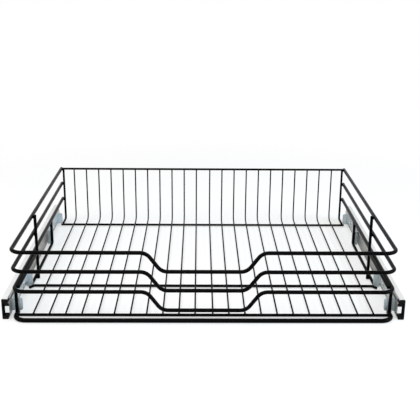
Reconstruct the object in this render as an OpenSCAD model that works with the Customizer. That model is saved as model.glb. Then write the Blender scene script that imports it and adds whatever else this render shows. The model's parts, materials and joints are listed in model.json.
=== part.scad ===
// Pull-out wire basket for a kitchen base cabinet, closed on its full-extension ball-bearing runners.
// Millimetres. X across the cabinet, -Y towards the front, +Z up, origin at the bottom centre.

/* [Cabinet] */
// Clear width between the two cabinet sides
cabinet_w = 664; // [564:1:864]
// Gap between the wire rails and each runner
side_gap = 5.5; // [5.5:0.5:12]

/* [Basket] */
// Depth from the back wires to the front rails, centre to centre
basket_d = 499; // [440:1:520]
// Height of the top rail's centre above the ground
top_rail_z = 121; // [116:1:160]
// Height of the middle rail's centre above the ground
middle_rail_z = 88; // [84:1:92]
// Height of the lower rail's centre above the ground
lower_rail_z = 53; // [51:1:56]
// Bend radius of the rails' front corners
corner_r = 19; // [12:1:40]

/* [Scoop in the front] */
// Width of the scoop between the bends at its bottom
scoop_bottom_w = 137.5; // [80:0.5:142]
// Slope of the scoop's sides, as the tangent of half its angle
scoop_turn = 0.5; // [0.36:0.01:0.56]
// How far each rail drops in the scoop
scoop_drop = 32.5; // [24:0.5:34]
// Bend radius of the scoop
scoop_r = 20; // [10:1:24]

/* [Wires] */
// Diameter of the three rails
rail_d = 6.5; // [5:0.5:7]
// Diameter of the front base rail
base_d = 7.5; // [6:0.5:9]
// Diameter of the cross bar and the front floor wire
cross_d = 5; // [4:0.5:6]
// Diameter of the posts, risers and side wires
post_d = 5.5; // [4.5:0.5:6]
// Diameter of the back rails and corner posts
back_d = 4.5; // [3:0.5:5]
// Diameter of the floor and back wires
mesh_d = 2.8; // [1.8:0.1:3]
// Gap left for the weld between two wires
weld_gap = 0.05; // [0.02:0.01:0.1]

/* [Floor and back wires] */
// Number of floor wires in each half
half_count = 11; // [8:1:14]
// Gap between the two middle floor wires
middle_gap = 29.4; // [20:0.1:40]
// Distance from a corner post to the nearest floor wire
edge_gap = 23; // [15:1:40]
// Bend radius where the floor wires turn up
mesh_bend_r = 13; // [8:1:24]
// Bend radius at the foot of the corner posts
post_bend_r = 5; // [3:0.5:8]
// Distance from the back wires forward to the back bottom rail
back_bottom_y = 31; // [27:1:45]
// Distance from the front base rail back to the front floor wire
front_floor_y = 20.8; // [20:0.1:40]
// How far the front base rail stands in front of the upper rails
base_reach = 3.6; // [0:0.1:15]
// Distance from the rails' front to the front risers
riser_y = 24; // [23:1:28]
// How far the side arms of the front base rail reach back past the front risers
arm_past_riser = 6; // [4:1:40]
// Distance from the back wires to the side posts
side_post_y = 322; // [200:1:330]
// Distance from the back wires to the cross bar
cross_bar_y = 362; // [355:1:380]
// Length of the cranked ends of the cross bar
crank_l = 11; // [8:1:18]
// Angle of the cranked ends of the cross bar, as the tangent of half of it
crank_turn = 0.5; // [0.4:0.01:0.8]

/* [Brackets] */
// Thickness of the bracket sheet
bracket_t = 1.5; // [1:0.1:2]
// Length of the rear brackets
rear_bracket_l = 114; // [80:1:120]
// Height of the brackets' upper edge above the runner's centre
bracket_top = 12; // [8:0.5:14]
// Height of the brackets' lower edge below the runner's centre
bracket_bottom = 5; // [5:0.5:8]
// Corner radius of the bracket tabs
tab_r = 4; // [1:0.5:5]
// How far the tabs behind the front risers reach in past the rails
front_tab_reach = 6; // [3:0.5:8]
// Distance of each bracket screw from the bracket's end
screw_inset = 30; // [26:1:34]

/* [Runners] */
// Length of the cabinet members
runner_l = 500; // [450:1:510]
// Height of the runners
runner_h = 36; // [35:0.5:46]
// Thickness of the runners
runner_t = 12.7; // [12.7:0.1:14]
// Sheet thickness of the cabinet and drawer members
member_t = 1.2; // [1:0.1:1.4]
// Sheet thickness of the middle members
middle_t = 1; // [0.8:0.1:1.2]
// Bend radius on the outside of the members
member_r = 1.5; // [1.2:0.1:2]
// Distance from the front base rail's face back to the runners
runner_setback = 15; // [8:1:18]
// Distance from a runner's basket side to the flange edges of its outer two members
flange_inset = 2; // [1.5:0.1:2.4]
// Diameter of the screw holes to the cabinet
mount_hole_d = 4.5; // [4:0.1:5]
// Distance of the first cabinet hole from the runner's front end
mount_inset = 37; // [30:1:37]
// Distance between the cabinet holes
mount_spacing = 320; // [288:32:352]
// Diameter of the access holes in the inner members
access_d = 8; // [7:0.5:9]
// Height of the folded tab on the front end of the drawer members
end_tab_h = 11.6; // [8:0.1:14]

/* [Balls and cages] */
// Diameter of the balls
ball_d = 3; // [2.6:0.1:3.2]
// How deep each ball sits in its track
race_depth = 0.3; // [0.2:0.05:0.4]
// Clearance between a ball and its track
race_clear = 0.05; // [0.03:0.01:0.08]
// Number of balls in one row
ball_count = 8; // [4:1:10]
// Distance between balls
ball_pitch = 20; // [14:1:22]
// Distance from a runner's basket side to its outer rows of balls
outer_ball_x = 7; // [6.5:0.1:7.5]
// Distance from a runner's basket side to its inner rows of balls
inner_ball_x = 4; // [3.8:0.1:4.2]
// Wall of the ball cages
cage_t = 0.5; // [0.3:0.1:0.6]
// Gap between an outer cage and the member on either side of it
outer_cage_gap = 0.5; // [0.4:0.1:0.6]
// Gap between an inner cage and the middle member
inner_cage_gap = 0.8; // [0.5:0.1:0.9]
// Gap between an inner cage and the edges of the drawer member
drawer_gap = 1; // [0.6:0.1:1.2]
// Thickness of the cage strips that hold the balls
strip_t = 0.8; // [0.5:0.1:1]
// How far those strips reach past the balls
strip_over = 0.5; // [0.3:0.1:0.6]
// Length of a cage beyond its last ball
cage_end = 8; // [4:1:12]

/* [Plastic parts] */
// Length of the rear bumpers
bumper_l = 6; // [4:0.5:10]
// Length of the plastic caps on the middle members
cap_l = 12; // [8:1:16]
// Thickness of the caps' faces in front of the cabinet members
cap_face_t = 1.2; // [1:0.1:2]
// Wall of those caps on the cabinet side
cap_wall = 1; // [0.8:0.1:1.2]
// Length of the plastic plugs in the drawer members
plug_l = 8; // [5:1:12]
// Running clearance beside plastic parts
plastic_clear = 0.4; // [0.3:0.05:0.6]

/* [Screws] */
// Diameter of the bracket screws
screw_d = 4; // [3:0.5:5]
// Diameter of the screw heads
head_d = 8; // [7:0.5:9]
// Height of the screw heads
head_h = 2.4; // [1.6:0.1:2.6]
// Clearance of a screw in its hole
screw_clear = 0.1; // [0.05:0.05:0.2]
// Depth of the cross recess in a screw head
recess_depth = 1.2; // [0.6:0.1:1.4]
// Width of the arms of the cross recess
recess_w = 1; // [0.8:0.1:1.4]
// Length of a screw's end past the drawer member
screw_end = 2; // [1:0.5:3]

/* [Hidden] */
$fn = 48;
black = "#17181a";
zinc = "#b9bcc0";
bright_steel = "#d5d7da";
plastic = "#1c1c1e";
// How far a cutting shape runs past the face that it cuts
cut = 1;
// Smallest inside bend radius of the members
min_inner_r = 0.2;

// Angles
scoop_slope = 2 * atan(scoop_turn);
crank_angle = 2 * atan(crank_turn);

// Widths
runner_x = cabinet_w / 2 - runner_t;
rail_x = runner_x - side_gap - rail_d / 2;
corner_post_x = rail_x - (rail_d + back_d) / 2 - weld_gap;
side_post_x = rail_x - (rail_d + post_d) / 2 - weld_gap;
side_base_x = side_post_x + post_d + weld_gap;
tab_x0 = rail_x - rail_d / 2;
first_wire_x = middle_gap / 2;
mesh_pitch = (corner_post_x - edge_gap - first_wire_x) / (half_count - 1);

// Heights of the base wires' centres: the cross bar carries the floor wires
base_z = base_d / 2;
cross_z = base_z;
mesh_z = cross_z + (cross_d + mesh_d) / 2;
back_bottom_z = mesh_z - (mesh_d + back_d) / 2;
post_foot_z = back_bottom_z + back_d;

// Places along Y, measured forward from the centre line of the back wires
rails_front = basket_d;
base_front = basket_d + base_reach;
base_arm = base_reach + riser_y + arm_past_riser;
// The risers stand on the straight part of the base rail's arms
base_corner_r = min(corner_r, base_reach + riser_y);
front_face = base_front + base_d / 2;
runner_front = front_face - runner_setback;
runner_back = runner_front - runner_l;
back_rail_y = -(mesh_d + back_d) / 2;
corner_post_y = back_rail_y + back_d + weld_gap;
rail_end_y = back_rail_y - back_d / 2;
back_face = max(-runner_back, -rail_end_y);
y0 = (front_face - back_face) / 2;

// Brackets: the tabs stand beside the wires that they carry, and reach in as far as the rails do
middle_tab_y = cross_bar_y - cross_d / 2 - weld_gap;
front_tab_y = rails_front - riser_y - post_d / 2 - weld_gap;
front_bracket_l = front_tab_y - middle_tab_y + bracket_t;
rear_tab_y = back_bottom_y - bracket_t / 2;
rear_front_tab_y = rear_tab_y + rear_bracket_l;
tab_low_z = base_z - cross_d / 2;
front_riser_z = lower_rail_z - rail_d / 2 - weld_gap;

// Runner profile: half heights from the middle, x from the face beside the basket
runner_z = runner_h / 2;
race_seat = ball_d / 2 - race_depth;
race_r = ball_d / 2 + race_clear;
cabinet_in = runner_h / 2 - member_t;
outer_ball_h = cabinet_in - race_seat;
middle_out = outer_ball_h - race_seat;
middle_in = middle_out - middle_t;
inner_ball_h = middle_in - race_seat;
drawer_out = inner_ball_h - race_seat;
outer_cage_x = runner_t - member_t - outer_cage_gap - cage_t;
middle_web_x = outer_cage_x - outer_cage_gap - middle_t;
inner_cage_x = middle_web_x - inner_cage_gap - cage_t;
drawer_depth = inner_cage_x - drawer_gap;
cage_l = (ball_count - 1) * ball_pitch + 2 * cage_end;

// Front end of the cabinet members, behind the faces of the caps
cabinet_front = runner_front - cap_face_t - plastic_clear;

// Inner members stop short of the bumper at the back
inner_back = runner_back + bumper_l + plastic_clear;
middle_front = runner_front - cap_l;
cage_y = runner_back + runner_l / 2;

// One bend of a wire that runs along +X and turns towards +Y: a ring cut by the planes of its ends
module wire_bend(d, angle, r) {
    reach = 2 * (r + d);
    translate([0, r, 0]) rotate([0, 0, -90]) intersection() {
        rotate_extrude() translate([r, 0]) circle(d = d);
        linear_extrude(2 * d, center = true)
            polygon([[0, 0], [reach, 0], [reach, reach * tan(angle / 2)], reach * [cos(angle), sin(angle)]]);
    }
}

// A wire bent step by step: [straight length, bend angle, bend radius, roll of the bend's plane]
module bent_wire(d, steps, i = 0) {
    if (i < len(steps)) {
        straight = steps[i][0];
        angle = steps[i][1];
        r = steps[i][2];
        rotate([0, 90, 0]) cylinder(d = d, h = straight);
        translate([straight, 0, 0]) rotate([steps[i][3], 0, 0]) {
            if (angle > 0) wire_bend(d, angle, r);
            translate([r * sin(angle), r * (1 - cos(angle)), 0]) rotate([0, 0, angle])
                bent_wire(d, steps, i + 1);
        }
    }
}

// Straight wires along X and Z
module wire_x(d, half_l) rotate([0, 90, 0]) cylinder(d = d, h = 2 * half_l, center = true);
module wire_z(d, z0, z1) translate([0, 0, z0]) cylinder(d = d, h = z1 - z0);

// Turn a distance forward of the back wires into the model's Y
function at_y(forward) = y0 - forward;

// A rail round three sides of the basket, with the scoop in its front
module scooped_rail(z) {
    tangent = scoop_r * tan(scoop_slope / 2);
    side = rails_front - rail_end_y - corner_r;
    shoulder = rail_x - corner_r - scoop_bottom_w / 2 - scoop_drop / tan(scoop_slope) - tangent;
    ramp = scoop_drop / sin(scoop_slope) - 2 * tangent;
    flat = scoop_bottom_w - 2 * tangent;
    color(black) translate([-rail_x, at_y(rail_end_y), z]) rotate([0, 0, -90])
        bent_wire(rail_d, [
            [side, 90, corner_r, 0],
            [shoulder, scoop_slope, scoop_r, -90],
            [ramp, scoop_slope, scoop_r, 180],
            [flat, scoop_slope, scoop_r, 0],
            [ramp, scoop_slope, scoop_r, 180],
            [shoulder, 90, corner_r, 90],
            [side, 0, 0, 0]]);
}

module top_rail() scooped_rail(top_rail_z);
module middle_rail() scooped_rail(middle_rail_z);
module lower_rail() scooped_rail(lower_rail_z);

// Thick base rail across the front, with short arms back along the sides
module front_base_rail() {
    arm = base_arm - base_corner_r;
    color(black) translate([-rail_x, at_y(base_front - base_arm), base_z]) rotate([0, 0, -90])
        bent_wire(base_d, [
            [arm, 90, base_corner_r, 0],
            [2 * (rail_x - base_corner_r), 90, base_corner_r, 0],
            [arm, 0, 0, 0]]);
}

// Cross wire under the front ends of the floor wires
module front_floor_wire() {
    color(black) translate([0, at_y(base_front - front_floor_y), cross_z])
        wire_x(cross_d, rail_x - base_d / 2 - weld_gap);
}

// Cross bar under the floor, its ends cranked forward in front of the brackets
module cross_bar() {
    straight = tab_x0 - cross_d / 2;
    color(black) translate([-straight, at_y(cross_bar_y), cross_z]) {
        translate([straight, 0, 0]) wire_x(cross_d, straight);
        sphere(d = cross_d);
        translate([2 * straight, 0, 0]) sphere(d = cross_d);
        rotate([0, -90, crank_angle]) cylinder(d = cross_d, h = crank_l);
        translate([2 * straight, 0, 0]) rotate([0, 90, -crank_angle]) cylinder(d = cross_d, h = crank_l);
    }
}

// Floor wires that turn up to form the back
module floor_wires() {
    front = base_front - front_floor_y + cross_d / 4;
    top = top_rail_z + back_d / 2;
    for (side = [-1, 1], i = [0 : half_count - 1])
        color(black) translate([side * (first_wire_x + i * mesh_pitch), at_y(front), mesh_z])
            rotate([0, 0, 90]) bent_wire(mesh_d, [
                [front - mesh_bend_r, 90, mesh_bend_r, 90],
                [top - mesh_z - mesh_bend_r, 0, 0, 0]]);
}

module back_top_rail() {
    color(black) translate([0, at_y(back_rail_y - weld_gap), top_rail_z])
        wire_x(back_d, rail_x - rail_d / 2 - weld_gap);
}

module back_bottom_rail() {
    color(black) translate([0, at_y(back_bottom_y), back_bottom_z - weld_gap]) wire_x(back_d, rail_x);
}

// Corner post: turns forward at its foot and lies on the back bottom rail
module corner_post() {
    foot_front = back_bottom_y + back_d;
    color(black) translate([corner_post_x, at_y(foot_front), post_foot_z]) rotate([0, 0, 90])
        bent_wire(back_d, [
            [foot_front - corner_post_y - post_bend_r, 90, post_bend_r, 90],
            [top_rail_z + back_d / 2 - post_foot_z - post_bend_r, 0, 0, 0]]);
}

module side_post() {
    color(black) translate([side_post_x, at_y(side_post_y), 0])
        wire_z(post_d, tab_low_z, top_rail_z + rail_d / 2);
}

// Riser from the front base rail's arm to the lower rail
module front_riser() {
    color(black) translate([rail_x, at_y(rails_front - riser_y), 0])
        wire_z(post_d, base_d + weld_gap, front_riser_z);
}

// Side base wire: runs from the front bracket to the rear one, where it turns up to the lower rail
module side_base_wire() {
    front = middle_tab_y - bracket_t - weld_gap;
    back = rear_front_tab_y + weld_gap + post_d / 2;
    color(black) translate([side_base_x, at_y(front), cross_z]) rotate([0, 0, 90])
        bent_wire(post_d, [
            [front - back - post_d, 90, post_d, 90],
            [front_riser_z - cross_z - post_d, 0, 0, 0]]);
}

// Short wire inside the lower rail, from the side post to the rail's front corner
module inner_side_wire() {
    back = side_post_y + post_d / 2 + weld_gap;
    color(black) translate([side_post_x, at_y(back), lower_rail_z]) rotate([90, 0, 0])
        cylinder(d = post_d, h = rails_front - corner_r - back);
}

// Plate with its two inner corners rounded, width along X and height along Z
module tab_plate(w, z0, z1, r, t) {
    translate([0, t, 0]) rotate([90, 0, 0]) linear_extrude(t) {
        translate([0, z0 + r]) square([w, z1 - z0 - 2 * r]);
        translate([r, z0]) square([w - r, z1 - z0]);
        translate([r, z0 + r]) circle(r = r);
        translate([r, z1 - r]) circle(r = r);
    }
}

// Sheet bracket: a web on the drawer member and a tab bent inward at each end
module bracket(back, l, back_low, front_low, front_reach) {
    z1 = runner_z + bracket_top;
    web_x = runner_x - weld_gap - bracket_t;
    width = web_x + bracket_t - tab_x0;
    color(zinc) difference() {
        union() {
            translate([web_x, at_y(back + l), runner_z - bracket_bottom])
                cube([bracket_t, l, bracket_top + bracket_bottom]);
            translate([tab_x0 - front_reach, at_y(back + l), 0])
                tab_plate(width + front_reach, front_low, z1, tab_r, bracket_t);
            translate([tab_x0, at_y(back + bracket_t), 0]) tab_plate(width, back_low, z1, tab_r, bracket_t);
        }
        for (y = [back + screw_inset, back + l - screw_inset])
            translate([web_x - cut, at_y(y), runner_z]) rotate([0, 90, 0])
                cylinder(d = screw_d + 2 * screw_clear, h = bracket_t + 2 * cut);
    }
}

module front_bracket() {
    bracket(middle_tab_y - bracket_t, front_bracket_l, tab_low_z, base_d + weld_gap, front_tab_reach);
}
module rear_bracket() {
    bracket(rear_tab_y, rear_bracket_l, back_bottom_z + back_d / 2, tab_low_z, 0);
}

// Places of the bracket screws, forward of the back wires
screw_places = [middle_tab_y - bracket_t + screw_inset, front_tab_y - screw_inset,
    rear_tab_y + screw_inset, rear_front_tab_y - screw_inset];

// Pan-head screw with a cross recess; the shank points along +X
module pan_screw(l) {
    rotate([0, 90, 0]) {
        difference() {
            translate([0, 0, -head_h]) intersection() {
                cylinder(d = head_d, h = head_h);
                translate([0, 0, head_d]) sphere(r = head_d);
            }
            for (a = [0, 90]) rotate([0, 0, a])
                translate([-head_d / 4, -recess_w / 2, -head_h - cut])
                    cube([head_d / 2, recess_w, cut + recess_depth]);
        }
        cylinder(d = screw_d, h = l);
    }
}

module bracket_screws() {
    head_x = runner_x - bracket_t - 2 * weld_gap;
    for (side = [0, 1], y = screw_places)
        color(bright_steel) mirror([side, 0, 0]) translate([head_x, at_y(y), runner_z])
            pan_screw(bracket_t + member_t + screw_end);
}

// Rectangle with rounded corners, in the XY plane
module round_square(size, r) {
    translate([0, r]) square([size[0], size[1] - 2 * r]);
    translate([r, 0]) square([size[0] - 2 * r, size[1]]);
    for (x = [r, size[0] - r], y = [r, size[1] - r]) translate([x, y]) circle(r = r);
}

// Inside bend radius of a member of this sheet thickness
function member_inner_r(t) = max(member_r - t, min_inner_r);

// Channel profile with its web at x0, or at x1, and its flanges towards the other side
module channel(x0, x1, half_h, t, web_at_x1) {
    inner_r = member_inner_r(t);
    difference() {
        translate([x0, -half_h]) round_square([x1 - x0, 2 * half_h], member_r);
        if (web_at_x1)
            translate([x0 - member_r, t - half_h])
                round_square([x1 - x0 - t + member_r, 2 * (half_h - t)], inner_r);
        else
            translate([x0 + t, t - half_h])
                round_square([x1 - x0 - t + member_r, 2 * (half_h - t)], inner_r);
    }
}

// Ball tracks at the given height above and below the middle
module races(x, h) {
    for (s = [-1, 1]) translate([x, s * h]) circle(r = race_r);
}

// Turn a profile drawn in X and Z into a bar between two places along Y
module bar(back, front) {
    translate([runner_x, at_y(back), runner_z]) rotate([90, 0, 0]) linear_extrude(front - back) children();
}

// Round holes through a member's web, at places along Y
module web_holes(x, t, d) {
    for (y = [runner_front - mount_inset, runner_front - mount_inset - mount_spacing])
        translate([runner_x + x - cut, at_y(y), runner_z]) rotate([0, 90, 0])
            cylinder(d = d, h = t + 2 * cut);
}

// Member screwed to the cabinet side
module cabinet_member() {
    color(zinc) difference() {
        bar(runner_back, cabinet_front) difference() {
            channel(flange_inset, runner_t, runner_h / 2, member_t, true);
            races(outer_ball_x, outer_ball_h);
        }
        web_holes(runner_t - member_t, member_t, mount_hole_d);
    }
}

// Member between the two, with balls above and below on both sides
module middle_member() {
    color(zinc) difference() {
        bar(inner_back, middle_front) difference() {
            channel(flange_inset, middle_web_x + middle_t, middle_out, middle_t, true);
            races(outer_ball_x, outer_ball_h);
            races(inner_ball_x, inner_ball_h);
        }
        web_holes(middle_web_x, middle_t, access_d);
    }
}

// Member that carries the basket, its web folded over at the front end
module drawer_member() {
    color(zinc) difference() {
        union() {
            bar(inner_back, runner_front - member_t) difference() {
                channel(0, drawer_depth, drawer_out, member_t, false);
                races(inner_ball_x, inner_ball_h);
            }
            bar(runner_front - 2 * member_t, runner_front)
                translate([0, -end_tab_h / 2]) square([member_t, end_tab_h]);
            bar(runner_front - member_t, runner_front)
                translate([0, -end_tab_h / 2]) square([drawer_depth, end_tab_h]);
        }
        web_holes(0, member_t, access_d);
        for (y = screw_places) translate([runner_x - cut, at_y(y), runner_z]) rotate([0, 90, 0])
            cylinder(d = screw_d + 2 * screw_clear, h = member_t + 2 * cut);
    }
}

// Places of the balls in one row, forward of the back wires
ball_places = [for (i = [0 : ball_count - 1]) cage_y + (i - (ball_count - 1) / 2) * ball_pitch];

// Plastic cage that keeps two rows of balls apart
module cage(web_x, ball_x, h) {
    strip_x = ball_x - ball_d / 2 - strip_over;
    color(plastic) difference() {
        bar(cage_y - cage_l / 2, cage_y + cage_l / 2) {
            translate([web_x, -h]) square([cage_t, 2 * h]);
            for (s = [-1, 1]) translate([strip_x, s * h - strip_t / 2])
                square([web_x + cage_t - strip_x, strip_t]);
        }
        for (y = ball_places, s = [-1, 1])
            translate([runner_x + ball_x, at_y(y), runner_z + s * h])
                cylinder(r = race_r + race_clear, h = 2 * strip_t, center = true);
        translate([runner_x, 0, runner_z]) for (y = [cage_y - cage_l / 4, cage_y + cage_l / 4])
            translate([web_x - cut, at_y(y), 0]) rotate([0, 90, 0]) cylinder(d = h, h = cage_t + 2 * cut);
    }
}

module balls(x, h) {
    for (y = ball_places, s = [-1, 1])
        color(bright_steel) translate([runner_x + x, at_y(y), runner_z + s * h]) sphere(d = ball_d);
}

module outer_cage() cage(outer_cage_x, outer_ball_x, outer_ball_h);
module inner_cage() cage(inner_cage_x, inner_ball_x, inner_ball_h);
module outer_balls() balls(outer_ball_x, outer_ball_h);
module inner_balls() balls(inner_ball_x, inner_ball_h);

// Plastic bumper in the back of the cabinet member
module rear_bumper() {
    w = runner_t - member_t - flange_inset - weld_gap;
    h = 2 * cabinet_in - 2 * plastic_clear;
    color(plastic) bar(runner_back, runner_back + bumper_l)
        translate([flange_inset, -h / 2]) round_square([w, h], member_r);
}

// Plastic cap on the front end of the middle member, its face closing the end of the cabinet member
module middle_cap() {
    half = middle_out + race_seat;
    inner = drawer_out + plastic_clear;
    w = outer_cage_x + cage_t - flange_inset;
    face = runner_h / 2 - plastic_clear;
    face_w = runner_t - flange_inset - plastic_clear;
    color(plastic) difference() {
        union() {
            bar(middle_front + weld_gap, runner_front)
                translate([flange_inset, -half]) round_square([w, 2 * half], member_r);
            bar(runner_front - cap_face_t, runner_front)
                translate([flange_inset, -face]) round_square([face_w, 2 * face], member_r);
        }
        bar(middle_front, runner_front + cut)
            translate([flange_inset - cut, -inner]) square([w + cut - cap_wall, 2 * inner]);
    }
}

// Plastic plug in the front end of the drawer member, above and below its folded tab
module drawer_plug() {
    x0 = member_t + weld_gap;
    half = drawer_out - member_t - weld_gap;
    tab = end_tab_h / 2 + weld_gap;
    behind_tab = runner_front - member_t - weld_gap;
    face_back = runner_front - member_t + weld_gap;
    color(plastic) difference() {
        union() {
            bar(behind_tab - plug_l, face_back)
                translate([x0, -half]) round_square([drawer_depth - x0, 2 * half], member_inner_r(member_t));
            bar(face_back, runner_front)
                translate([0, -drawer_out]) square([drawer_depth, 2 * drawer_out]);
        }
        bar(behind_tab, runner_front + cut) translate([-cut, -tab]) square([drawer_depth + 2 * cut, 2 * tab]);
    }
}

// A left-hand piece is the right-hand piece mirrored
module left() mirror([1, 0, 0]) children();

top_rail();
middle_rail();
lower_rail();
front_base_rail();
front_floor_wire();
cross_bar();
floor_wires();
back_top_rail();
back_bottom_rail();
left() corner_post();  // corner_post_left
corner_post();  // corner_post_right
left() side_post();  // side_post_left
side_post();  // side_post_right
left() front_riser();  // front_riser_left
front_riser();  // front_riser_right
left() side_base_wire();  // side_base_wire_left
side_base_wire();  // side_base_wire_right
left() inner_side_wire();  // inner_side_wire_left
inner_side_wire();  // inner_side_wire_right
left() front_bracket();  // front_bracket_left
front_bracket();  // front_bracket_right
left() rear_bracket();  // rear_bracket_left
rear_bracket();  // rear_bracket_right
bracket_screws();
left() cabinet_member();  // cabinet_member_left
cabinet_member();  // cabinet_member_right
left() middle_member();  // middle_member_left
middle_member();  // middle_member_right
left() drawer_member();  // drawer_member_left
drawer_member();  // drawer_member_right
left() outer_cage();  // outer_cage_left
outer_cage();  // outer_cage_right
left() inner_cage();  // inner_cage_left
inner_cage();  // inner_cage_right
left() outer_balls();  // outer_balls_left
outer_balls();  // outer_balls_right
left() inner_balls();  // inner_balls_left
inner_balls();  // inner_balls_right
left() rear_bumper();  // rear_bumper_left
rear_bumper();  // rear_bumper_right
left() middle_cap();  // middle_cap_left
middle_cap();  // middle_cap_right
left() drawer_plug();  // drawer_plug_left
drawer_plug();  // drawer_plug_right
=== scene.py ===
"""Pull-out wire basket on its runners: finishes, weld beads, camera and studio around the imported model."""
import json
import math
import random

import bmesh
import bpy
from mathutils import Matrix, Vector


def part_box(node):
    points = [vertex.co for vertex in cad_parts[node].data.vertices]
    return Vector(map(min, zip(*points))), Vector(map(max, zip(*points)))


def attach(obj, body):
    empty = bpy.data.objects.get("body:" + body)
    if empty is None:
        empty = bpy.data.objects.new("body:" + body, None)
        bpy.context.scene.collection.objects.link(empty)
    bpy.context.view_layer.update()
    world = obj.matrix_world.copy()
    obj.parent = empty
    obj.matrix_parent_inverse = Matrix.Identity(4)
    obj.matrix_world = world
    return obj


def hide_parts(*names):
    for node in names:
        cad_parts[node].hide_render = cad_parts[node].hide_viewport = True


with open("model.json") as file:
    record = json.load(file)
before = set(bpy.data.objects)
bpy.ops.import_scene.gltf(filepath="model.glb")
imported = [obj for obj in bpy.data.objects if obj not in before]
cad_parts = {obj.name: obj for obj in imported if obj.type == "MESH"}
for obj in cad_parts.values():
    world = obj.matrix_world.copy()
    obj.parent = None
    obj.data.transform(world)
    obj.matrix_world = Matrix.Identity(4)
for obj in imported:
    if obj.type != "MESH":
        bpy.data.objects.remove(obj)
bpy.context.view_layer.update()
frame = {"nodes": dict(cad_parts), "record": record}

SLOT_OF = {part["node"]: part["material_slot"] for part in frame["record"]["subparts"]}
BODY_OF = {node: body for body, nodes in frame["record"]["behaviour"]["bodies"].items() for node in nodes}

MM = 0.001

# The axes, as a vector counts them
X, Y, Z = range(3)

# Camera: where it stands, its lens and sensor in millimetres, and how it is turned, in degrees
CAMERA_AT = Vector((-9.5, -1432.5, 585.1)) * MM
LENS_MM = 68.14
SENSOR_MM = 36
CAMERA_PITCH = 18.328
CAMERA_YAW = 0.865
CAMERA_ROLL = 0.477

# In a copied mesh: how near two corners are one, how slight a fold is flat, and from where an edge is sharp
MERGE = 0.002 * MM
FLAT = math.radians(1)
SHARP = math.radians(35)

# How far the edges of cut wire, sheet and mouldings are eased, and in how many steps
CUT_EDGE = 0.45 * MM
SHEET_EDGE = 0.18 * MM
MOULDED_EDGE = 0.35 * MM
EDGE_STEPS = 3

# From a drawer member's front end: how far back its painted light reaches, and where the full painted shade
# starts
PAINTED_LIGHT_END = 3 * MM
PAINTED_SHADE_START = 12 * MM

# Corners of the floor wires' cut ends that are further apart than this are on different wires
WIRE_GAP = 5 * MM

# A weld bead's half width and half thickness, as shares of the thinner wire's diameter, and how far they vary
BEAD_REACH = 0.62
BEAD_THICKNESS = 0.3
BEAD_VARIATION = 0.12
BEAD_SUBDIVISIONS = 3
BEAD_SEED = 11

# The floor is part plain white backdrop and part paper that takes the shadows: the backdrop's share near the
# basket and far away, and the distances in metres between which it changes
BACKDROP_NEAR = 0.48
BACKDROP_FAR = 1.0
NEAR_M = 0.45
FAR_M = 1.1
FLOOR_HALF_M = 6.0

# The even light of the room, where plain white is 1
ROOM_LIGHT = 0.34

# Soft square lamps: name, place in metres, power in watts, width in metres, colour
LAMPS = (("window", (1.8, -0.8, 0.9), 28, 1.0, "#e6f0ff"),
         ("ceiling", (-0.3, -0.4, 1.9), 38, 2.2, "#fffaf4"),
         ("warm_lamp", (-1.7, -0.5, 0.8), 6, 0.9, "#ffd2a0"))


def linear(hex_colour, alpha=1.0):
    """An sRGB hex colour as linear RGBA."""
    parts = [int(hex_colour[i:i + 2], 16) / 255 for i in (1, 3, 5)]
    return [c / 12.92 if c <= 0.04045 else ((c + 0.055) / 1.055) ** 2.4 for c in parts] + [alpha]


def add_node(tree, kind, settings=None, **inputs):
    """Adds a node; an input, by its name or as _N by its number, is a value or the socket that feeds it."""
    node = tree.nodes.new(kind)
    for name, value in (settings or {}).items():
        setattr(node, name, value)
    for name, value in inputs.items():
        socket = node.inputs[int(name[1:])] if name[1:].isdigit() else node.inputs[name.replace("_", " ")]
        if isinstance(value, bpy.types.NodeSocket):
            tree.links.new(value, socket)
        else:
            socket.default_value = value
    return node


def new_material(name):
    """An empty node material and its tree."""
    material = bpy.data.materials.new(name)
    material.use_nodes = True
    material.node_tree.nodes.clear()
    return material, material.node_tree


def finish_material(tree, shader):
    """Gives a material its surface."""
    output = add_node(tree, "ShaderNodeOutputMaterial")
    tree.links.new(shader.outputs[0], output.inputs["Surface"])


def per_mm(size_mm):
    """The scale of a texture on Object coordinates whose features are this many millimetres apart."""
    return 1 / (size_mm * MM)


def epoxy_powder_coat():
    """Black epoxy powder coat on steel wire: semi-gloss, with the soft ripple of a baked coat."""
    material, tree = new_material("black_epoxy_powder_coat")
    place = add_node(tree, "ShaderNodeTexCoord").outputs["Object"]
    # The coat's ripple, and a slow drift in its gloss from thicker and thinner powder
    ripple = add_node(tree, "ShaderNodeTexNoise", Vector=place, Scale=per_mm(1.6), Detail=2.0)
    cloud = add_node(tree, "ShaderNodeTexNoise", Vector=place, Scale=per_mm(24), Detail=3.0)
    tone = add_node(tree, "ShaderNodeMix", {"data_type": "RGBA"}, Factor=cloud.outputs["Fac"],
                    _6=linear("#030303"), _7=linear("#050505"))
    sheen = add_node(tree, "ShaderNodeMapRange", Value=cloud.outputs["Fac"], To_Min=0.24, To_Max=0.36)
    bump = add_node(tree, "ShaderNodeBump", Strength=0.12, Distance=0.05 * MM, Height=ripple.outputs["Fac"])
    # A weak reflection keeps the coat deep black in an all-white room
    shader = add_node(tree, "ShaderNodeBsdfPrincipled", Base_Color=tone.outputs[2],
                      Roughness=sheen.outputs["Result"], Normal=bump.outputs["Normal"], IOR=1.5,
                      Specular_IOR_Level=0.03)
    finish_material(tree, shader)
    return material


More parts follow.
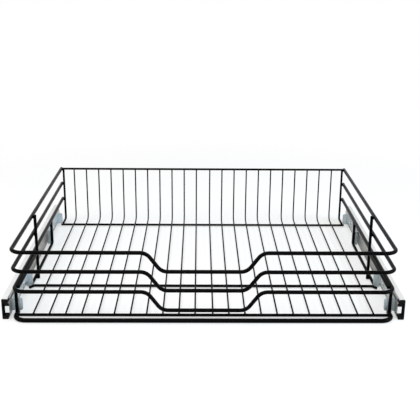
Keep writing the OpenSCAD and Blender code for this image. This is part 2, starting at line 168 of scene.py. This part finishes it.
def zinc_plate(name, dark, light, metallic, painted_light_colour=None):
    """Zinc plate on rolled steel strip: silver, with faint rolling lines along the strip and cloudy patches.

    Where a painted-light colour is given, the drawer members' front ends have it as painted light, where
    their front tabs catch the light, and the rest keeps the darker tones.
    """
    material, tree = new_material(name)
    place = add_node(tree, "ShaderNodeTexCoord").outputs["Object"]
    # Rolling lines run along Y; real ones are about 0.1 mm apart, and these are drawn coarser to show
    drawn = add_node(tree, "ShaderNodeMapping", Vector=place, Scale=(1, 0.02, 1))
    grain = add_node(tree, "ShaderNodeTexNoise", Vector=drawn.outputs[0], Scale=per_mm(0.7), Detail=3.0)
    cloud = add_node(tree, "ShaderNodeTexNoise", Vector=place, Scale=per_mm(14), Detail=4.0)
    tone = add_node(tree, "ShaderNodeMix", {"data_type": "RGBA"}, Factor=cloud.outputs["Fac"],
                    _6=linear(dark), _7=linear(light))
    # Painted light and shade: the front end takes the lighter colour, and the rest blends into the darker
    # tones behind it
    if painted_light_colour:
        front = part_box("drawer_member_left")[0].y
        along = add_node(tree, "ShaderNodeSeparateXYZ", Vector=place)
        painted_shade_ramp = add_node(tree, "ShaderNodeMapRange", {"interpolation_type": "SMOOTHSTEP"},
                        Value=along.outputs["Y"], From_Min=front + PAINTED_LIGHT_END, From_Max=front + PAINTED_SHADE_START)
        tone = add_node(tree, "ShaderNodeMix", {"data_type": "RGBA"}, Factor=painted_shade_ramp.outputs["Result"],
                        _6=linear(painted_light_colour), _7=tone.outputs[2])
    rough = add_node(tree, "ShaderNodeMapRange", Value=grain.outputs["Fac"], To_Min=0.32, To_Max=0.5)
    bump = add_node(tree, "ShaderNodeBump", Strength=0.15, Distance=0.02 * MM, Height=grain.outputs["Fac"])
    shader = add_node(tree, "ShaderNodeBsdfPrincipled", Base_Color=tone.outputs[2], Metallic=metallic,
                      Roughness=rough.outputs["Result"], Normal=bump.outputs["Normal"])
    finish_material(tree, shader)
    return material


def ball_steel():
    """Hardened, polished steel of balls and screws: near mirror, with the haze of handling."""
    material, tree = new_material("polished_ball_steel")
    place = add_node(tree, "ShaderNodeTexCoord").outputs["Object"]
    haze = add_node(tree, "ShaderNodeTexNoise", Vector=place, Scale=per_mm(0.9), Detail=3.0)
    tone = add_node(tree, "ShaderNodeMix", {"data_type": "RGBA"}, Factor=haze.outputs["Fac"],
                    _6=linear("#bfc3c6"), _7=linear("#dadcde"))
    rough = add_node(tree, "ShaderNodeMapRange", Value=haze.outputs["Fac"], To_Min=0.1, To_Max=0.24)
    shader = add_node(tree, "ShaderNodeBsdfPrincipled", Base_Color=tone.outputs[2], Metallic=1.0,
                      Roughness=rough.outputs["Result"])
    finish_material(tree, shader)
    return material


def acetal():
    """Moulded black acetal: satin, with the spark-eroded grain of its mould."""
    material, tree = new_material("moulded_black_acetal")
    place = add_node(tree, "ShaderNodeTexCoord").outputs["Object"]
    # A real mould's grain is about 0.1 mm; this one is drawn coarser to show
    grain = add_node(tree, "ShaderNodeTexNoise", Vector=place, Scale=per_mm(0.5), Detail=2.0)
    tone = add_node(tree, "ShaderNodeMix", {"data_type": "RGBA"}, Factor=grain.outputs["Fac"],
                    _6=linear("#050505"), _7=linear("#0b0b0c"))
    rough = add_node(tree, "ShaderNodeMapRange", Value=grain.outputs["Fac"], To_Min=0.38, To_Max=0.52)
    bump = add_node(tree, "ShaderNodeBump", Strength=0.2, Distance=0.03 * MM, Height=grain.outputs["Fac"])
    shader = add_node(tree, "ShaderNodeBsdfPrincipled", Base_Color=tone.outputs[2],
                      Roughness=rough.outputs["Result"], Normal=bump.outputs["Normal"], IOR=1.48,
                      Specular_IOR_Level=0.1)
    finish_material(tree, shader)
    return material


# Each slot's material, and how far its edges are eased
FINISHES = {
    "black_coated_wire": (epoxy_powder_coat(), CUT_EDGE),
    "zinc_plated_steel": (zinc_plate("bright_zinc_plate", "#d1d4d4", "#e9ebeb", 1.0), SHEET_EDGE),
    "bright_steel": (ball_steel(), SHEET_EDGE),
    "black_plastic": (acetal(), MOULDED_EDGE),
}

# Zinc of other baths: the brackets' blue passivation leaves a thin milky layer over the metal. The drawer
# members are painted darker, as painted shade for their shaded inner faces, behind front ends painted
# lighter, as painted light where their front tabs catch the light
OTHER_ZINC = {
    "bracket": zinc_plate("blue_passivated_zinc", "#aab8bf", "#c8d5db", 0.2),
    # Painted shade in the drawer members' darker tones, and painted light on their lighter front ends
    "drawer_member": zinc_plate("zinc_plate_painted_shade_and_light", "#9c9d99", "#c4c3bd", 1.0, painted_light_colour="#e6e8e8"),
}


def finish_of(node):
    """A node's material, and how far its edges are eased."""
    slot = SLOT_OF[node]
    material, edge = FINISHES[slot]
    if slot == "zinc_plated_steel":
        for kind, other in OTHER_ZINC.items():
            if kind in node:
                material = other
    return material, edge


def paint(obj, material):
    """Gives an object one material."""
    obj.data.materials.clear()
    obj.data.materials.append(material)


def new_object(shape, name):
    """A finished bmesh as an object in the scene."""
    mesh = bpy.data.meshes.new(name)
    shape.to_mesh(mesh)
    shape.free()
    made = bpy.data.objects.new(name, mesh)
    bpy.context.scene.collection.objects.link(made)
    return made


def dressed(node, edge):
    """A copy of a node's mesh, merged, with its sharp edges eased as the real finish leaves them."""
    shape = bmesh.new()
    shape.from_mesh(frame["nodes"][node].data)
    bmesh.ops.remove_doubles(shape, verts=shape.verts, dist=MERGE)
    bmesh.ops.dissolve_limit(shape, angle_limit=FLAT, verts=shape.verts, edges=shape.edges)
    sharp = [e for e in shape.edges if e.is_manifold and e.calc_face_angle(0) > SHARP]
    bmesh.ops.bevel(shape, geom=sharp, offset=edge, offset_type="OFFSET", affect="EDGES",
                    segments=EDGE_STEPS, profile=0.5, material=-1, clamp_overlap=True)
    for face in shape.faces:
        face.smooth = True
    return new_object(shape, node + "_finished")


def dress_nodes():
    """Every node but the balls gets a finished piece in its place; the balls keep their own mesh."""
    for node, slot in SLOT_OF.items():
        material, edge = finish_of(node)
        if node.endswith(("balls_left", "balls_right")):
            balls = frame["nodes"][node]
            paint(balls, material)
            for polygon in balls.data.polygons:
                polygon.use_smooth = True
            continue
        piece = dressed(node, edge)
        paint(piece, material)
        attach(piece, BODY_OF[node])
        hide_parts(node)


def floor_wire_places():
    """The X of each floor wire, read from the cut ends along the top of the back, and the wires' diameter."""
    obj = frame["nodes"]["floor_wires"]
    corners = [obj.matrix_world @ vertex.co for vertex in obj.data.vertices]
    top = max(c.z for c in corners)
    across = sorted(c.x for c in corners if c.z > top - MERGE)
    groups = [[across[0]]]
    for x in across[1:]:
        if x - groups[-1][-1] > WIRE_GAP:
            groups.append([])
        groups[-1].append(x)
    return [(group[0] + group[-1]) / 2 for group in groups], groups[0][-1] - groups[0][0]


def rail_thickness():
    """The rails' diameter, as far as the lower rail stands out past the wire that lies inside it."""
    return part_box("lower_rail")[1].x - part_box("inner_side_wire_right")[1].x


def weld_places():
    """Each weld's place, the axis that points from wire to wire, and the thinner wire's diameter."""
    places = []
    wires, thin = floor_wire_places()
    # Floor wires on the wires that cross under them, then against the back top rail
    for node in ("front_floor_wire", "cross_bar", "back_bottom_rail"):
        low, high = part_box(node)
        y = high.y - (high.z - low.z) / 2
        places += [(Vector((x, y, high.z)), Z, thin) for x in wires]
    low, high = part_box("back_top_rail")
    places += [(Vector((x, low.y, (low.z + high.z) / 2)), Y, thin) for x in wires]
    # Ends of the two straight wires between the sides
    for node in ("front_floor_wire", "back_top_rail"):
        low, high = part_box(node)
        middle = (low + high) / 2
        places += [(Vector((x, middle.y, middle.z)), X, high.z - low.z) for x in (low.x, high.x)]
    for side in ("left", "right"):
        # Posts inside the three rails
        outer = 0 if side == "left" else 1
        for post in ("corner_post_", "side_post_"):
            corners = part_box(post + side)
            thick = corners[1].x - corners[0].x
            back = corners[1].y - thick / 2
            for rail in ("top_rail", "middle_rail", "lower_rail"):
                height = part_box(rail)[1].z - rail_thickness() / 2
                places.append((Vector((corners[outer].x, back, height)), X, thick))
        # Front riser, both ends
        low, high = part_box("front_riser_" + side)
        middle = (low + high) / 2
        places += [(Vector((middle.x, middle.y, z)), Z, high.x - low.x) for z in (low.z, high.z)]
        # Side base wire, on top of its rear end, then beside the side post
        low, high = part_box("side_base_wire_" + side)
        thick = high.x - low.x
        places.append((Vector(((low.x + high.x) / 2, high.y - thick / 2, high.z)), Z, thick))
        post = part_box("side_post_" + side)
        places.append((Vector((post[outer].x, (post[0].y + post[1].y) / 2, low.z + thick / 2)), X, thick))
    return places


def weld_beads():
    """The small fillets of molten wire at every weld, under the same coat as the wires."""
    chance = random.Random(BEAD_SEED)
    shape = bmesh.new()
    for place, axis, thick in weld_places():
        size = [BEAD_REACH * thick] * 3
        size[axis] = BEAD_THICKNESS * thick
        size = [length * (1 + chance.uniform(-BEAD_VARIATION, BEAD_VARIATION)) for length in size]
        bmesh.ops.create_icosphere(shape, subdivisions=BEAD_SUBDIVISIONS, radius=1.0,
                                   matrix=Matrix.Translation(place) @ Matrix.Diagonal(size + [1.0]))
    for face in shape.faces:
        face.smooth = True
    beads = new_object(shape, "weld_beads")
    paint(beads, FINISHES["black_coated_wire"][0])
    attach(beads, "basket")


def place_camera():
    """The camera, turned by yaw, pitch and roll from looking along +Y."""
    pitch, yaw, roll = (math.radians(a) for a in (CAMERA_PITCH, CAMERA_YAW, CAMERA_ROLL))
    ahead = Vector((math.sin(yaw) * math.cos(pitch), math.cos(yaw) * math.cos(pitch), -math.sin(pitch)))
    level = Vector((math.cos(yaw), -math.sin(yaw), 0))
    above = level.cross(ahead)
    right = math.cos(roll) * level + math.sin(roll) * above
    up = math.cos(roll) * above - math.sin(roll) * level
    data = bpy.data.cameras.new("camera")
    data.sensor_width = SENSOR_MM
    data.lens = LENS_MM
    camera = bpy.data.objects.new("camera", data)
    turn = Matrix((right, up, -ahead)).transposed()
    camera.matrix_world = Matrix.Translation(CAMERA_AT) @ turn.to_4x4()
    bpy.context.scene.collection.objects.link(camera)
    bpy.context.scene.camera = camera


def seen_directly(tree):
    """1 for a ray from the camera, or one that a shiny or clear surface sends on; 0 for the light itself."""
    path = add_node(tree, "ShaderNodeLightPath")
    seen = path.outputs["Is Camera Ray"]
    for ray in ("Is Glossy Ray", "Is Transmission Ray"):
        seen = add_node(tree, "ShaderNodeMath", {"operation": "MAXIMUM"}, _0=seen,
                        _1=path.outputs[ray]).outputs[0]
    return seen


def paper_floor():
    """White paper under and behind the basket: plain white far away, with soft, cool shadows near it."""
    material, tree = new_material("white_paper_floor")
    place = add_node(tree, "ShaderNodeTexCoord").outputs["Object"]
    away = add_node(tree, "ShaderNodeVectorMath", {"operation": "LENGTH"}, _0=place)
    backdrop = add_node(tree, "ShaderNodeMapRange", {"interpolation_type": "SMOOTHSTEP"},
                        Value=away.outputs["Value"], From_Min=NEAR_M, From_Max=FAR_M,
                        To_Min=BACKDROP_NEAR, To_Max=BACKDROP_FAR)
    paper = add_node(tree, "ShaderNodeBsdfDiffuse", Color=linear("#f2f9fd"))
    glow = add_node(tree, "ShaderNodeEmission", Color=linear("#ffffff"), Strength=1.0)
    share = add_node(tree, "ShaderNodeMath", {"operation": "MULTIPLY"}, _0=seen_directly(tree),
                     _1=backdrop.outputs["Result"])
    mixed = add_node(tree, "ShaderNodeMixShader", _0=share.outputs[0], _1=paper.outputs[0],
                     _2=glow.outputs[0])
    finish_material(tree, mixed)
    shape = bmesh.new()
    bmesh.ops.create_grid(shape, x_segments=1, y_segments=1, size=FLOOR_HALF_M)
    floor = new_object(shape, "floor")
    paint(floor, material)


def white_room():
    """Plain white where it is seen, and a dimmer, even light for the rest."""
    world = bpy.data.worlds.new("studio")
    bpy.context.scene.world = world
    world.use_nodes = True
    tree = world.node_tree
    tree.nodes.clear()
    strength = add_node(tree, "ShaderNodeMapRange", Value=seen_directly(tree), To_Min=ROOM_LIGHT, To_Max=1.0)
    light = add_node(tree, "ShaderNodeBackground", Color=linear("#ffffff"),
                     Strength=strength.outputs["Result"])
    output = add_node(tree, "ShaderNodeOutputWorld")
    tree.links.new(light.outputs[0], output.inputs["Surface"])


def studio():
    """White floor and room, a cool window on the right, a soft lamp above and a faint warm one at left."""
    paper_floor()
    white_room()
    for name, at, power, width, colour in LAMPS:
        data = bpy.data.lights.new(name, "AREA")
        data.energy = power
        data.size = width
        data.color = linear(colour)[:3]
        lamp = bpy.data.objects.new(name, data)
        lamp.location = at
        lamp.rotation_euler = (-Vector(at)).to_track_quat("-Z", "Y").to_euler()
        bpy.context.scene.collection.objects.link(lamp)


place_camera()
dress_nodes()
weld_beads()
studio()
bpy.context.scene.view_settings.view_transform = "Standard"
